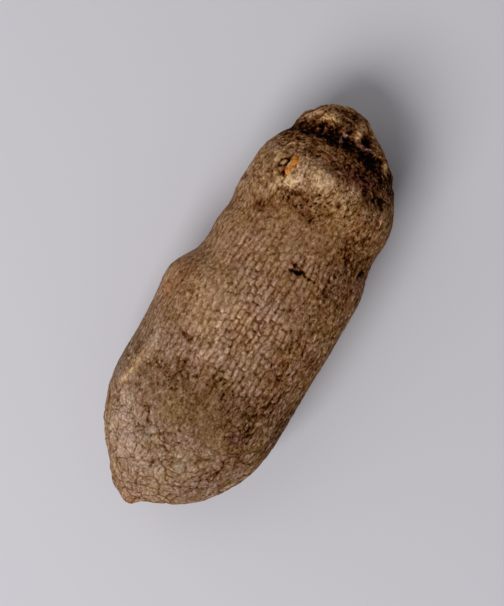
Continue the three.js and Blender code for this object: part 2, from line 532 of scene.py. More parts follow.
@in_a_group
def tail_plates(place):
    """The crack depth, the rise in mm and the lightness, as for the middle's blocks."""
    bent = stirred(stirred(place, *PLATE_STIR, seed=11), *PLATELET_STIR, seed=12)
    edge, shade, lean = plates(bent, PLATE_SIZE)
    fine_edge, fine_shade, fine_lean = plates(bent, PLATELET_SIZE)
    open_here = ramp(ripple(place, PLATE_CRACK_PATCH, seed=13), *PLATE_CRACK_OPENS)
    fine_open_here = ramp(ripple(place, PLATELET_CRACK_PATCH, seed=14), *PLATELET_CRACK_OPENS)
    in_crack = ramp(edge, *PLATE_CRACK, 1.0, 0.0) * open_here
    in_fine = ramp(fine_edge, *PLATELET_CRACK, 1.0, 0.0) * fine_open_here * PLATELET_CRACK_STRENGTH
    flaking = reckon("FRACT", ripple(bent, FLAKE_SIZE, seed=15, detail=1.5) * STEPS)
    flaked = ramp(ripple(place, FLAKED_PATCH, seed=16), *FLAKED_WHERE)
    in_step = ramp(flaking, *STEP_EDGE) * ramp(flaking, 1.0, STEP_EDGE[1]) * flaked * STEP_EDGE_STRENGTH
    depth = larger(larger(in_crack, in_fine), in_step)
    dome = ramp(edge, 0.0, PLATE_ROUNDING) * PLATE_RISE
    dome = dome + ramp(fine_edge, 0.0, PLATELET_ROUNDING) * PLATELET_RISE
    leaning = lean * PLATE_LEAN + fine_lean * PLATELET_LEAN
    rise = dome + leaning + flaking * flaked * STEP_HEIGHT - depth * PLATE_CRACK_SINK
    shaded = shade * PLATE_SHADE_SPREAD + fine_shade * PLATELET_SHADE_SPREAD
    shaded = shaded + (flaking - 0.5) * flaked * STEP_LIGHTER
    # The lean also paints each plate lighter on its raised side and darker on its sunk side.
    lighter = shaded + leaning * LEAN_PAINTED_LIGHT - depth * PLATE_CRACK_DARKER
    return depth, rise, lighter


# ---------------------------------------------------------------------------------------------
# The bark of the head. The cork is finer here. It is drawn into small folds that run in arcs
# around a smooth bump, and nearer the crown in lines beside the groove. On the bump's tail side
# lies a hollow with dark crumbling cork.
# ---------------------------------------------------------------------------------------------
BUMP_X = 88.0
BUMP_Y = 1.5
FOLD_WIDTH = 2.0
FOLD_LENGTH = 9.0
HOLLOW_X = 70.0
HOLLOW_Y = 4.0
GROOVE_X = 117.7
GROOVE_BOW = 6.3
HEAD_STIR = (9, 2.0)
# The arcs around the bump are ovals, wider across the tuber than along it.
BUMP_OVAL_X, BUMP_OVAL_Y = 1.4, 0.7
BUMP_ROUND = 4.0
ARCS_APART = 2.4
BESIDE_GROOVE_WIDTH = 1.3
BESIDE_GROOVE_LENGTH = 8
NEAR_GROOVE = (-24.0, -12.0)
NEARER_ON_LEFT = 6.0
LEFT_OF_BUMP_Y = (-5.0, 12.0)
SMOOTH_BUMP = (6.5, 9.5, 0.15, 1.0)
FOLD_BOTTOM = (-0.1, -0.9)
HEAD_CREASE_SIZE = 4.5
HEAD_CREASE_WIDTH = 0.25
HEAD_CREASE_STRENGTH = 0.6
CRUMBLING_SIZE = 2.8
CRUMBLING_STRETCH = (1.2, 0.9)
LEAST_CRUMBLING = 0.35
HOLLOW_ALONG = (15.0, 5.0)
HOLLOW_ACROSS = (24.0, 12.0)
FOLD_RISE = 0.32
HEAD_CREASE_SINK = 0.2
CRUMBLING_SINK = 0.45
FOLD_LIGHTER = 0.24
HEAD_CREASE_DARKER = 0.12
CRUMBLING_DARKER = 0.32
HEAD_LIGHTER = 0.03


def past_groove(place):
    """How far in mm a place is past the groove, towards the crown's tip."""
    x, y, z = xyz(place)
    out_y = y - MIDDLE_Y
    out_z = z - MIDDLE_Z
    sideways = out_y * out_y / (out_y * out_y + out_z * out_z + 1.0)
    return x - GROOVE_X + sideways * GROOVE_BOW


def flecks(place, size, seed, low, high):
    """1 inside small ragged spots, each about size across, and 0 between them."""
    return ramp(ripple(place, size, seed, detail=3.0, roughness=0.6), low, high)


@in_a_group
def head_folds(place):
    """The crack depth, the rise in mm and the lightness, as for the middle's blocks."""
    bent = stirred(place, *HEAD_STIR, seed=21)
    x, y, z = xyz(bent)
    from_bump_x = x - BUMP_X
    from_bump_y = y - BUMP_Y
    along_squared = from_bump_x * from_bump_x * BUMP_OVAL_X
    away = reckon("POWER", along_squared + from_bump_y * from_bump_y * BUMP_OVAL_Y + BUMP_ROUND, 0.5)
    bearing = reckon("ARCTAN2", from_bump_y, from_bump_x)
    around_bump = ripple(triple(away / FOLD_WIDTH, bearing * ARCS_APART, z / FOLD_LENGTH), 1.0, seed=22)
    past = past_groove(bent)
    along_groove = triple(past / BESIDE_GROOVE_WIDTH, y / BESIDE_GROOVE_LENGTH, z / BESIDE_GROOVE_LENGTH)
    beside_groove = ripple(along_groove, 1.0, seed=24)
    near_groove = ramp(past + ramp(y, *LEFT_OF_BUMP_Y) * NEARER_ON_LEFT, *NEAR_GROOVE)
    folds = between(around_bump, beside_groove, near_groove)
    creases = wrinkles(bent, HEAD_CREASE_SIZE, seed=25, width=HEAD_CREASE_WIDTH)
    smooth = ramp(away, *SMOOTH_BUMP)
    dark = flecks(stretched(bent, *CRUMBLING_STRETCH), CRUMBLING_SIZE, seed=26, low=-0.1, high=0.5)
    hollow_along = ramp(reckon("ABSOLUTE", x - HOLLOW_X), *HOLLOW_ALONG)
    hollow = hollow_along * ramp(reckon("ABSOLUTE", y - HOLLOW_Y), *HOLLOW_ACROSS)
    crumbling = dark * between(between(LEAST_CRUMBLING, 1.0, near_groove), 1.0, hollow) * smooth
    folded = larger(ramp(folds, *FOLD_BOTTOM), creases * HEAD_CREASE_STRENGTH) * smooth
    depth = larger(folded, crumbling)
    rise = folds * FOLD_RISE * smooth - creases * smooth * HEAD_CREASE_SINK - crumbling * CRUMBLING_SINK
    lighter = folds * FOLD_LIGHTER * smooth - creases * smooth * HEAD_CREASE_DARKER
    lighter = lighter - crumbling * CRUMBLING_DARKER + HEAD_LIGHTER
    return depth, rise, lighter


# ---------------------------------------------------------------------------------------------
# The crown. A knob of rough tan cork where the vine once joined, pitted and flecked with black,
# and set off by a deep groove that bows back towards the tail at the sides.
# ---------------------------------------------------------------------------------------------
CROWN_STIR = (5, 1.4)
LUMP_SIZE = 8.0
PIT_SIZE = 5.0
HOLE_SIZE = 2.4
CHIP_SIZE = 4.5
LUMP_RISE = 1.1
CHIP_LEAN = 0.25
PIT_SINK = 0.6
HOLE_SINK = 0.3
LUMP_LIGHTER = 0.18
CHIP_LIGHTER = 0.1
PIT_DARKER = 0.28
HOLE_DARKER = 0.22
CROWN_LIGHTER = 0.02


@in_a_group
def crown_cork(place):
    """The pits' depth, the rise in mm and the lightness, as for the middle's blocks."""
    bent = stirred(place, *CROWN_STIR, seed=33)
    lumps = ripple(bent, LUMP_SIZE, seed=31, detail=2.0)
    pits = flecks(bent, PIT_SIZE, seed=32, low=-0.1, high=0.4)
    holes = flecks(bent, HOLE_SIZE, seed=34, low=0.0, high=0.5)
    chips = plates(bent, CHIP_SIZE)[2]
    rise = lumps * LUMP_RISE + chips * CHIP_LEAN - pits * PIT_SINK - holes * HOLE_SINK
    lighter = lumps * LUMP_LIGHTER + chips * CHIP_LIGHTER - pits * PIT_DARKER - holes * HOLE_DARKER
    lighter = lighter + CROWN_LIGHTER
    return pits, rise, lighter


# ---------------------------------------------------------------------------------------------
# The marks of its growing and keeping: scars of lost roots, cracks, sunk and raised spots, and
# stains, with a few patches of painted shade and a painted highlight among them. Each is named,
# with its middle, its half length and half width in mm, its turn in degrees, how much lighter it
# is, and how much higher in mm.
# ---------------------------------------------------------------------------------------------
MARKS = {
    "pale_tail_left": (-99.0, 26.0, 30.0, 10.0, 28, 0.12, 0.0),
    "pale_tail_right": (-104.0, -40.0, 15.0, 7.0, -28, 0.07, 0.0),
    "pale_tail_middle": (-100.0, -3.0, 9.0, 6.0, 0, 0.08, 0.0),
    "dark_ridge_end": (-86.0, 40.0, 7.0, 5.0, 20, -0.07, 0.0),
    "dark_tail_right": (-119.0, -15.0, 7.0, 9.0, 0, -0.08, 0.0),
    "dark_before_middle": (-60.0, -8.0, 16.0, 16.0, 0, -0.07, 0.0),
    "dark_middle_left": (-42.0, 2.0, 6.0, 9.0, 0, -0.07, 0.0),
    "pale_right_flank": (-55.0, -44.0, 24.0, 7.0, 0, 0.09, 0.0),
    "pale_crest": (-27.0, 6.0, 11.0, 9.0, 0, 0.08, 0.0),
    "dark_middle": (-16.0, -7.0, 13.0, 9.0, 0, -0.07, 0.0),
    "dark_middle_right": (22.0, -12.0, 14.0, 10.0, 0, -0.05, 0.0),
    # Painted shade: the left shoulder is darkened towards its edge, where the flank falls away.
    "painted_shade_left_shoulder": (-6.0, 43.0, 20.0, 10.0, 0, -0.09, 0.0),
    "dark_hollow_top": (61.0, 23.0, 9.0, 8.0, -30, -0.12, 0.0),
    "pale_around_bump": (88.0, 8.0, 9.0, 15.0, 0, 0.06, 0.0),
    "dark_hollow": (69.5, 1.0, 8.0, 16.0, 0, -0.14, -0.3),
    "pale_below_bump": (83.0, -20.0, 12.0, 7.0, 0, 0.06, 0.0),
    # Painted shade: two patches darkened along the right edge, where the flank falls away.
    "painted_shade_right_edge": (45.0, -41.0, 12.0, 7.0, 0, -0.08, 0.0),
    "painted_shade_right_edge_2": (-74.0, -40.0, 11.0, 6.0, 0, -0.07, 0.0),
    "tail_corner": (-133.5, 18.0, 5.0, 5.0, 0, 0.03, 0.5),
    "root_scar": (33.8, -12.8, 4.8, 1.2, 96, -0.50, -1.2),
    "root_scar_side": (36.2, -11.6, 4.2, 0.8, 80, -0.40, -0.8),
    "root_scar_end": (34.0, -20.5, 4.5, 0.5, 88, -0.35, -0.3),
    "tail_slit": (-106.5, 4.5, 3.2, 0.8, -8, -0.30, -0.5),
    "tail_slit_low": (-107.5, -1.0, 3.0, 0.6, 0, -0.22, -0.4),
    "tail_slit_rim": (-110.5, 7.0, 3.2, 0.7, -42, 0.10, 0.3),
    "tail_pit": (-94.0, 3.0, 1.4, 0.9, 60, -0.22, -0.4),
    "tail_long_slit": (-93.0, -32.5, 6.5, 0.6, -6, -0.30, -0.5),
    "tail_eye_slit": (-101.0, -27.5, 4.5, 0.7, -52, -0.22, -0.4),
    "tail_side_pit": (-120.5, -14.0, 3.2, 1.0, -20, -0.22, -0.4),
    "tail_side_pit_2": (-111.5, -22.5, 2.8, 0.9, -30, -0.18, -0.3),
    "tail_dot": (-112.0, -8.0, 0.8, 0.7, 0, -0.25, -0.2),
    "tail_dark_end": (-84.0, -32.5, 4.0, 2.8, 0, -0.12, -0.2),
    "tail_pale_edge": (-121.0, 24.5, 7.5, 3.5, 55, 0.07, 0.2),
    "tail_pale_edge_2": (-106.5, 34.0, 9.0, 2.5, 32, 0.06, 0.2),
    "tail_pale_right": (-127.5, -2.0, 5.0, 2.5, -50, 0.06, 0.1),
    "tail_pale_flake": (-103.5, -15.0, 2.6, 1.6, -30, 0.11, 0.3),
    "tail_pale_spot": (-92.5, 27.0, 1.8, 1.6, 0, 0.09, 0.2),
    "domed_plate": (-92.0, 9.0, 4.8, 4.2, 0, 0.03, 0.8),
    "domed_plate_2": (-103.5, 10.0, 4.6, 3.6, 20, 0.03, 0.6),
    "domed_plate_3": (-83.5, 25.5, 5.5, 5.0, 0, 0.03, 0.6),
    "grey_plate": (-96.0, 16.0, 5.0, 2.8, 0, 0.03, 0.4),
    "ridge_spot": (-74.0, 43.5, 2.4, 1.6, 0, -0.02, -0.4),
    "ridge_pale": (-69.0, 44.0, 11.0, 2.4, -22, 0.20, 0.6),
    "ridge_pale_2": (-50.0, 40.5, 15.0, 3.0, -7, 0.21, 0.6),
    "ridge_hollow": (-62.5, 35.5, 12.0, 3.0, -8, -0.05, -0.5),
    "above_ridge": (-51.0, 47.0, 3.5, 2.4, 0, -0.14, -0.2),
    "oval_scar": (-51.5, 16.0, 9.5, 5.2, -4, -0.09, -0.5),
    "oval_scar_inner": (-52.5, 12.0, 3.8, 1.6, 0, -0.10, -0.2),
    "comma_crack": (-31.0, 22.5, 3.2, 1.4, 75, -0.26, -0.8),
    "comma_tail": (-29.5, 27.0, 2.6, 1.0, 45, -0.18, -0.5),
    "pore_past_scar": (-47.5, 7.5, 1.8, 0.9, -10, -0.18, -0.4),
    "pore_on_crest": (-42.5, -2.0, 2.4, 0.9, -10, -0.20, -0.5),
    "slit_on_crest": (-51.0, -4.5, 2.6, 0.5, 5, -0.18, -0.3),
    "slit_below_crest": (-51.0, -12.0, 3.0, 0.9, 15, -0.18, -0.3),
    "corner_crack": (-36.5, -16.5, 3.8, 0.6, -3, -0.28, -0.4),
    "corner_crack_side": (-39.5, -18.0, 2.2, 0.6, 85, -0.22, -0.4),
    "purple_bruise": (-68.5, -29.5, 4.2, 3.2, 60, -0.07, -0.3),
    "purple_bruise_2": (-65.5, -37.0, 6.0, 2.6, -10, -0.05, -0.3),
    "bruise_slit": (-75.0, -30.5, 4.0, 0.6, -3, -0.18, -0.3),
    "stain_right_flank": (-48.0, -36.0, 4.2, 1.8, 10, -0.13, -0.3),
    "stain_right_edge": (-50.0, -50.0, 4.0, 1.8, -15, -0.16, -0.3),
    "stain_below_middle": (-26.0, -35.0, 6.0, 2.0, 10, -0.10, -0.2),
    "fleck_right_flank": (-60.5, -33.0, 1.6, 0.8, 0, 0.16, 0.2),
    "pale_right_of_crest": (-36.0, -29.5, 4.5, 2.6, -30, 0.07, 0.1),
    "pale_by_comma": (-23.0, 21.5, 2.4, 3.6, 0, 0.13, 0.1),
    "pale_on_crest": (-10.5, 12.0, 6.5, 2.4, -4, 0.14, 0.1),
    "pit_left_shoulder": (-6.5, 34.0, 1.6, 1.9, 0, -0.18, -0.3),
    "cross_crack": (6.0, -2.0, 3.0, 0.6, 82, -0.35, -0.5),
    "long_slit_middle": (16.0, -14.0, 6.5, 0.7, -2, -0.22, -0.4),
    "stain_by_long_slit": (12.5, -21.0, 2.4, 1.5, -30, -0.20, -0.3),
    "slit_right_flank": (3.5, -33.5, 3.4, 1.2, 10, -0.26, -0.4),
    "stain_before_notch": (32.5, -34.0, 3.5, 2.2, 0, -0.14, -0.3),
    "stain_by_right_edge": (27.0, -45.0, 4.0, 2.0, -20, -0.12, -0.3),
    "stain_low_right": (-9.5, -48.5, 3.5, 3.0, 0, -0.18, -0.4),
    "stain_low_right_2": (-11.5, -44.0, 1.2, 3.0, 0, -0.12, -0.3),
    "ochre_by_root_scar": (27.0, -10.0, 3.4, 2.0, 0, -0.07, 0.1),
    "pale_by_root_scar": (40.5, -17.0, 2.2, 1.7, 0, 0.12, 0.2),
    "slit_past_root_scar": (47.0, -12.5, 3.0, 0.5, -62, -0.30, -0.4),
    "slit_past_root_scar_2": (49.5, -17.5, 2.0, 0.5, -58, -0.28, -0.4),
    "slit_past_root_scar_rim": (45.5, -14.0, 4.0, 0.5, -60, 0.13, 0.3),
    "pore_before_head": (59.0, -29.0, 1.0, 0.9, 0, -0.35, -0.4),
    "pore_rim": (58.0, -28.0, 1.8, 0.5, -45, 0.15, 0.2),
    "pore_rim_2": (61.0, -28.0, 1.8, 0.5, 35, 0.15, 0.2),
    "streak_to_notch": (53.5, -35.0, 6.0, 1.1, 32, -0.28, -0.4),
    "notch": (53.0, -47.5, 3.8, 1.8, -20, -0.50, -1.4),
    "smudge_before_head": (58.0, 25.5, 4.2, 3.4, 0, -0.14, -0.3),
    "hollow_dark": (72.5, 12.0, 1.8, 3.2, 0, -0.18, -0.4),
    "hollow_dark_2": (75.5, 9.5, 1.2, 1.8, 0, -0.13, -0.3),
    "hollow_dark_3": (79.5, 0.0, 1.0, 3.0, -20, -0.13, -0.3),
    "hollow_dark_4": (67.0, -2.5, 3.0, 1.6, 0, -0.10, -0.3),
    "hollow_dark_5": (72.5, -11.0, 1.8, 3.2, 20, -0.10, -0.2),
    "pale_below_hollow": (63.0, -7.5, 7.0, 2.4, -40, 0.08, 0.2),
    "pale_before_hollow": (55.0, 2.0, 4.0, 2.8, 0, 0.05, 0.1),
    "streak_right_of_head": (70.0, -32.0, 5.0, 1.2, -5, -0.17, -0.3),
    "streak_right_of_head_2": (80.0, -34.0, 3.0, 1.2, 10, -0.15, -0.3),
    "pale_line_below_bump": (81.0, -18.0, 6.5, 0.6, 16, 0.12, 0.3),
    "dark_line_below_bump": (81.0, -19.5, 6.5, 0.5, 14, -0.12, -0.2),
    "flake_patch": (71.5, 24.0, 7.0, 2.4, -8, 0.24, 0.5),
    "flake_patch_2": (77.5, 16.5, 5.6, 2.8, -60, 0.37, 0.5),
    "flake_patch_3": (81.5, 13.0, 2.8, 1.5, -30, 0.24, 0.3),
    "wound_rim": (87.0, 30.5, 5.0, 0.9, -6, 0.22, 0.5),
    "wound_hole": (86.5, 26.6, 4.8, 3.4, -20, -0.22, -1.2),
    "wound_core": (86.5, 26.6, 1.6, 1.1, -20, 0.46, 0.6),
    "wound_side": (80.0, 23.5, 1.8, 2.8, 0, -0.24, -0.6),
    "wound_floor": (86.3, 21.4, 8.2, 3.0, 4, 0.22, -0.3),
    "wound_under": (87.5, 17.0, 3.2, 1.0, 45, 0.20, 0.4),
    "wound_dot": (83.0, 18.2, 1.1, 0.9, 0, -0.26, -0.3),
    "wound_dark_end": (80.6, 23.4, 1.4, 1.0, 0, -0.34, -0.4),
    "wound_pale": (89.5, 18.6, 2.2, 0.8, 30, 0.22, 0.3),
    "wound_under_2": (83.5, 15.0, 2.6, 0.8, -50, 0.22, 0.4),
    "wound_split": (85.6, 21.2, 1.0, 1.7, 15, -0.20, -0.3),
    "wound_fleck": (90.6, 22.0, 1.5, 0.8, 20, 0.14, 0.2),
    "wound_fleck_2": (83.0, 21.2, 1.2, 0.8, -20, 0.14, 0.2),
    # The bump is paler smooth cork, and its lightening is partly a painted highlight on its top.
    "bump": (BUMP_X, BUMP_Y + 1.5, 5.6, 8.0, 0, 0.09, 0.9),
    "bump_ring": (87.5, 8.5, 3.0, 3.4, 0, -0.04, -0.3),
    "bank_dark": (99.5, -10.0, 6.0, 13.0, 12, -0.22, -0.3),
    "bank_dark_right": (97.0, -27.0, 9.0, 7.0, 40, -0.16, -0.3),
    "bank_dark_left": (102.0, 15.0, 4.5, 7.0, 10, -0.14, -0.2),
    "dark_head_right": (92.0, -29.0, 10.0, 8.0, 10, -0.06, 0.0),
    "black_right_end": (94.8, -36.2, 4.2, 3.0, 20, -0.42, -0.8),
    "black_right_groove": (106.5, -29.5, 4.4, 2.8, 40, -0.30, -0.8),
    "black_in_groove": (112.8, -16.5, 6.4, 5.0, 80, -0.38, -1.2),
    "black_in_groove_2": (113.5, -2.0, 3.4, 3.8, 0, -0.20, -0.8),
    "black_in_groove_3": (112.5, 7.5, 4.6, 4.2, 0, -0.24, -0.8),
    "black_left_groove": (112.0, 19.5, 3.4, 8.0, 8, -0.16, -0.6),
    "dark_on_crown": (118.0, 22.0, 3.0, 3.0, 0, -0.08, -0.5),
    "crown_hole": (124.4, -10.3, 4.6, 3.8, -10, -0.60, -1.6),
    "crown_tan": (126.2, 15.0, 6.0, 5.0, 0, 0.46, 0.9),
    "crown_cleft": (123.6, 12.0, 3.0, 0.6, 60, -0.40, -0.6),
    "crown_cleft_2": (120.6, 12.4, 2.4, 0.6, 75, -0.36, -0.5),
    "crown_cleft_3": (127.5, 12.5, 2.6, 0.5, 50, -0.34, -0.5),
    "crown_tan_3": (124.0, 26.4, 11.0, 3.0, -44, 0.36, 0.5),
    # Painted shadow: a dark strip along the crown's end, where it turns down out of the light.
    "painted_shadow_crown_end": (134.8, 6.0, 2.4, 8.0, 0, -0.32, -0.3),
    "crown_dark_2": (124.4, 2.2, 3.4, 2.2, 0, -0.20, -0.4),
    "crown_dark_3": (130.0, 3.5, 4.6, 5.4, 0, -0.16, -0.3),
    "crown_tan_4": (126.0, -4.8, 6.0, 2.6, -10, 0.30, 0.6),
    "crown_pink": (115.8, 3.2, 2.0, 1.3, 10, 0.30, 0.5),
    "crown_pink_2": (120.6, 2.8, 1.4, 2.4, 0, 0.30, 0.5),
    "crown_pink_strip": (119.4, -12.5, 7.0, 1.0, 94, 0.30, 0.5),
    "crown_flake": (115.0, -29.0, 5.0, 2.6, 60, 0.60, 0.6),
    "crown_streak": (109.5, 17.0, 3.6, 0.5, 95, 0.20, 0.2),
    "bank_streak": (100.4, 25.6, 4.4, 0.5, -58, 0.14, 0.3),
    "bank_streak_2": (104.0, 22.6, 4.0, 0.5, -60, 0.14, 0.3),
    "bank_streak_3": (104.4, 13.0, 4.2, 0.5, -62, 0.16, 0.3),
    "bank_streak_4": (98.4, 28.8, 3.4, 0.5, -52, 0.12, 0.3),
    "bank_warm": (101.0, 5.0, 3.6, 3.6, 0, 0.10, 0.0),
}
# The blunt tip of the tail, where the tuber stopped growing, is drawn out to a low cone.
TIP_MIDDLE = (-142.0, 5.0, 45.0)
TIP_SIZE = (6.5, 7.5, 9.0)
TIP_RISE = 1.4
TIP_RAGGEDNESS = 0.3
# The scar that the vine left, low on the crown's end: a sunk dark dimple inside a cracked ring.
VINE_SCAR_MIDDLE = (136.0, -4.0, 33.0)
VINE_SCAR_SIZE = (9.0, 9.0, 6.5)
VINE_SCAR_LIGHT = -0.34
VINE_SCAR_HEIGHT = -2.6
VINE_RING_SIZE = (25.0, 13.0, 10.0)
VINE_RING_LIGHT = -0.45
# A mark fades out between these shares of its size, and stands at least so tall, in mm.
MARK_ENDS = 1.4
MARK_FULL = 0.55
LEAST_TALL = 5.0


def height_at(x, y):
    """How high the smooth body's top is over a point of the table, in mm."""
    down = Vector((0, 0, -1))
    return smooth_body.ray_cast(Vector((x / MM, y / MM, 1.0)), down)[0].z * MM


def shares_of_size(place, middle, size, turn):
    """How far along and across a mark each point is from its middle, in shares of its size."""
    off = reckon_places("SUBTRACT", place, middle)
    turned = add_node(place.tree, "ShaderNodeVectorRotate", {"Vector": off, "Angle": turn},
                      rotation_type="Z_AXIS")
    return reckon_places("DIVIDE", turned, size)


def inside_mark(place, ragged, middle, size, turn):
    """1 in the middle of a mark, falling to 0 over its edge."""
    away = reckon_places("LENGTH", shares_of_size(place, middle, size, turn), output="Value")
    return ramp(away + ragged, MARK_ENDS, MARK_FULL)


def laid_on(x, y, half_length, half_width, turn):
    """The middle, size and turn that inside_mark takes, for a mark that lies on top of the body."""
    size = (half_length, half_width, max(half_width, LEAST_TALL))
    return (x, y, height_at(x, y)), size, math.radians(-turn)


@in_a_group
def with_mark(lighter, higher, place, ragged, middle, size, turn, light, height):
    """The skin's lightness and height with one more mark on it."""
    inside = inside_mark(place, ragged, middle, size, turn)
    return lighter + inside * light, higher + inside * height


# Thin curved cracks at the edges of lifted plates and around scars, each part of an oval. Each
# has its middle, half length and half width in mm, its turn and the way it faces in degrees, the
# least it must face that way (0 shows half of the oval), and how much lighter it is.
WHOLE_OVAL = -1.2
RINGS = {
    "plate_right_edge": (-92.8, 8.6, 4.6, 4.6, 0, 0, 0.0, -0.24),
    "plate_left_edge": (-103.0, 9.6, 4.8, 4.4, 0, 170, 0.0, -0.20),
    "plate_under_edge": (-84.5, 27.0, 8.0, 7.0, 0, -90, 0.5, -0.22),
    "plate_between": (-98.0, 14.0, 6.0, 4.0, 20, -60, 0.2, -0.18),
    "tail_arc": (-72.0, 6.0, 3.6, 3.6, 0, 45, 0.1, -0.20),
    "tail_arc_outer": (-72.0, 6.0, 5.6, 5.4, 0, 50, 0.3, -0.14),
    "oval_scar_edge": (-51.3, 16.0, 10.0, 5.6, -3, 125, -0.2, -0.24),
    "comma_arc": (-30.5, 18.0, 3.0, 3.6, 0, -40, 0.1, -0.20),
    "comma_lead": (-39.5, 19.5, 5.0, 2.2, 10, -90, 0.3, -0.20),
    "nub_foot": (-135.5, 7.0, 5.0, 7.0, 0, 0, 0.3, -0.16),
    "bump_wrinkle": (87.0, 8.0, 3.4, 4.0, 0, 90, WHOLE_OVAL, -0.14),
    "bump_wrinkle_outer": (87.0, 8.5, 5.2, 6.0, 0, 100, -0.1, -0.12),
    "bump_foot": (88.0, 1.5, 8.4, 11.5, 0, 180, -0.3, -0.10),
    "wound_edge": (86.5, 26.6, 3.0, 2.2, -20, 100, WHOLE_OVAL, -0.46),
    "crown_arc": (125.8, 15.0, 6.4, 5.4, 0, 190, -0.2, -0.18),
}
# The way that the ring on the crown's end faces.
UPWARD = (0.0, 0.0, 1.0)
RAGGED_SIZE, RAGGED_BY = 1.8, 0.4
UNEVEN_SIZE, UNEVEN_BY = 5.0, 0.25
SHADING_SIZE, SHADING = 40.0, 0.01
RING_THICKNESS = 0.75
RING_TALL = 25.0
RING_DEPTH = 1.8
RING_RAGGEDNESS = 0.3
RING_END_FADE = 0.3


@in_a_group
def with_ring(lighter, higher, place, ragged, middle, size, turn, facing, least, thin, light):
    """The skin's lightness and height with one more thin ring, or part of one, cut into it."""
    shares = shares_of_size(place, middle, size, turn)
    away = reckon_places("LENGTH", shares, output="Value")
    side = reckon_places("DOT_PRODUCT", shares, facing, output="Value") / away
    on_line = ramp(reckon("ABSOLUTE", away + ragged * RING_RAGGEDNESS - 1.0), thin, 0.0)
    inside = on_line * ramp(side - least, -RING_END_FADE, RING_END_FADE) * light
    return lighter + inside, higher + inside * RING_DEPTH


@in_a_group
def all_marks(place):
    """How much lighter, and how much higher in mm, the marks make each point."""
    ragged = ripple(place, RAGGED_SIZE, seed=71) * RAGGED_BY
    ragged = ragged + ripple(place, UNEVEN_SIZE, seed=72) * UNEVEN_BY
    lighter = ripple(place, SHADING_SIZE, seed=73) * SHADING
    higher = inside_mark(place, ragged * TIP_RAGGEDNESS, TIP_MIDDLE, TIP_SIZE, 0.0) * TIP_RISE
    scar = inside_mark(place, ragged, VINE_SCAR_MIDDLE, VINE_SCAR_SIZE, 0.0)
    lighter = lighter + scar * VINE_SCAR_LIGHT
    higher = higher + scar * VINE_SCAR_HEIGHT
    thin = RING_THICKNESS / VINE_RING_SIZE[2]
    lighter, higher = with_ring(
        lighter, higher, place, ragged, VINE_SCAR_MIDDLE, VINE_RING_SIZE, 0.0, UPWARD, WHOLE_OVAL, thin,
        VINE_RING_LIGHT)
    for x, y, half_length, half_width, turn, light, height in MARKS.values():
        middle, size, angle = laid_on(x, y, half_length, half_width, turn)
        lighter, higher = with_mark(lighter, higher, place, ragged, middle, size, angle, light, height)
    for x, y, half_length, half_width, turn, faces, least, light in RINGS.values():
        middle = (x, y, height_at(x, y))
        size = (half_length, half_width, RING_TALL)
        bearing = math.radians(faces - turn)
        facing = (math.cos(bearing), math.sin(bearing), 0.0)
        thin = RING_THICKNESS / half_width
        angle = math.radians(-turn)
        lighter, higher = with_ring(
            lighter, higher, place, ragged, middle, size, angle, facing, least, thin, light)
    return lighter, higher


# ---------------------------------------------------------------------------------------------
# The small grain of the cork, which is the same all over: dark pores, pale dry flecks and hair
# cracks, a little longer along the tuber than across it.
# ---------------------------------------------------------------------------------------------
GRAIN_STRETCH = (2.6, 1.6)
HAIR_CRACK_STRETCH = (4.6, 3.0)
HAIR_CRACK_STIR = (4, 0.8)
ROUGH_STRETCH = (1.25, 0.9)
PORES_FROM = (0.1, 0.8)
DRY_FROM = (0.2, 0.9)
HAIR_CRACKS_PATCH = 9
HAIR_CRACKS_FROM = (-0.5, 0.6)
ROUGH_SIZE = 2.3
SPECK_SIZE = 2.2
ROUGH_LIGHTER = 0.33
DRY_LIGHTER = 0.16
PORE_DARKER = 0.18
HAIR_CRACK_DARKER = 0.15
SPECK_DARKER = 0.20
DRY_RISE = 0.3
PORE_SINK = 0.6
HAIR_CRACK_SINK = 0.5
SPECK_SINK = 0.5


@in_a_group
def cork_grain(place):
    """How much lighter the grain makes each point, and how much higher, -1 to 1."""
    along = stretched(place, *GRAIN_STRETCH)
    pores = ramp(ripple(along, 1.0, seed=81, detail=1.0), *PORES_FROM)
    dry = ramp(ripple(along, 1.0, seed=82, detail=1.0), *DRY_FROM)
    hair_place = stretched(stirred(place, *HAIR_CRACK_STIR, seed=83), *HAIR_CRACK_STRETCH)
    hair = wrinkles(hair_place, 1.0, seed=84, width=0.2)
    patchy = ramp(ripple(place, HAIR_CRACKS_PATCH, seed=85), *HAIR_CRACKS_FROM)
    rough = ripple(stretched(place, *ROUGH_STRETCH), ROUGH_SIZE, seed=86, detail=3.0, roughness=0.8)
    specks = flecks(place, SPECK_SIZE, seed=87, low=0.2, high=0.7)
    lighter = rough * ROUGH_LIGHTER + dry * DRY_LIGHTER - pores * PORE_DARKER
    lighter = lighter - hair * patchy * HAIR_CRACK_DARKER - specks * SPECK_DARKER
    higher = rough + dry * DRY_RISE - pores * PORE_SINK - hair * patchy * HAIR_CRACK_SINK
    higher = higher - specks * SPECK_SINK
    return lighter, higher


